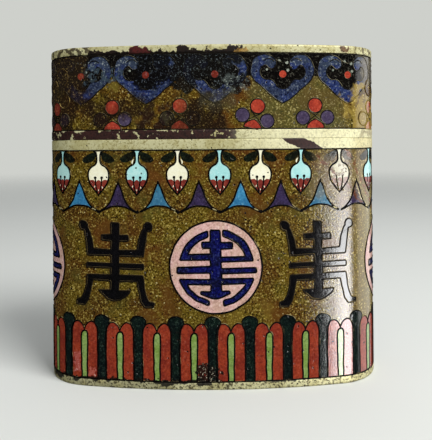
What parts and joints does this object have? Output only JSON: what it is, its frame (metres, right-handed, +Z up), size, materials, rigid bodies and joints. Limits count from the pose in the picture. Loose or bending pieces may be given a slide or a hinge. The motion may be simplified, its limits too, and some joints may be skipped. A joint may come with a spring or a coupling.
{
  "type": "cloisonne enamel box",
  "caption": "Pocket-size oval box with a lift-off lid, in copper with brass bands and cloisonne enamel outside, hollow and empty.",
  "frame": {"origin": "middle of the underside, on the plane that the box stands on", "axes": "+X along the long side, to the right of a person who faces the front; +Y from the front to the back, through the thickness; +Z up"},
  "size_m": [0.0632, 0.023, 0.062],
  "materials": {
    "copper": "satin",
    "brass": "satin",
    "wires": "satin",
    "amber_enamel": "gloss",
    "black_enamel": "gloss",
    "cobalt_enamel": "gloss",
    "pink_enamel": "gloss",
    "white_enamel": "gloss",
    "turquoise_enamel": "gloss",
    "red_enamel": "gloss",
    "violet_enamel": "gloss",
    "sky_enamel": "gloss",
    "leaf_enamel": "gloss",
    "dark_green_enamel": "gloss"
  },
  "bodies": {
    "root": {"body_base_plate": "copper", "body_wall": "copper", "body_foot_band": "brass", "body_enamel": "amber_enamel", "body_mouth_band": "brass", "mouth_collar": "brass", "lid_mouth_band": "brass", "lid_wall": "copper", "lid_enamel": "amber_enamel", "lid_top_band": "brass", "lid_top_plate": "copper", "lid_top_enamel": "amber_enamel"}
  },
  "joints": []
}
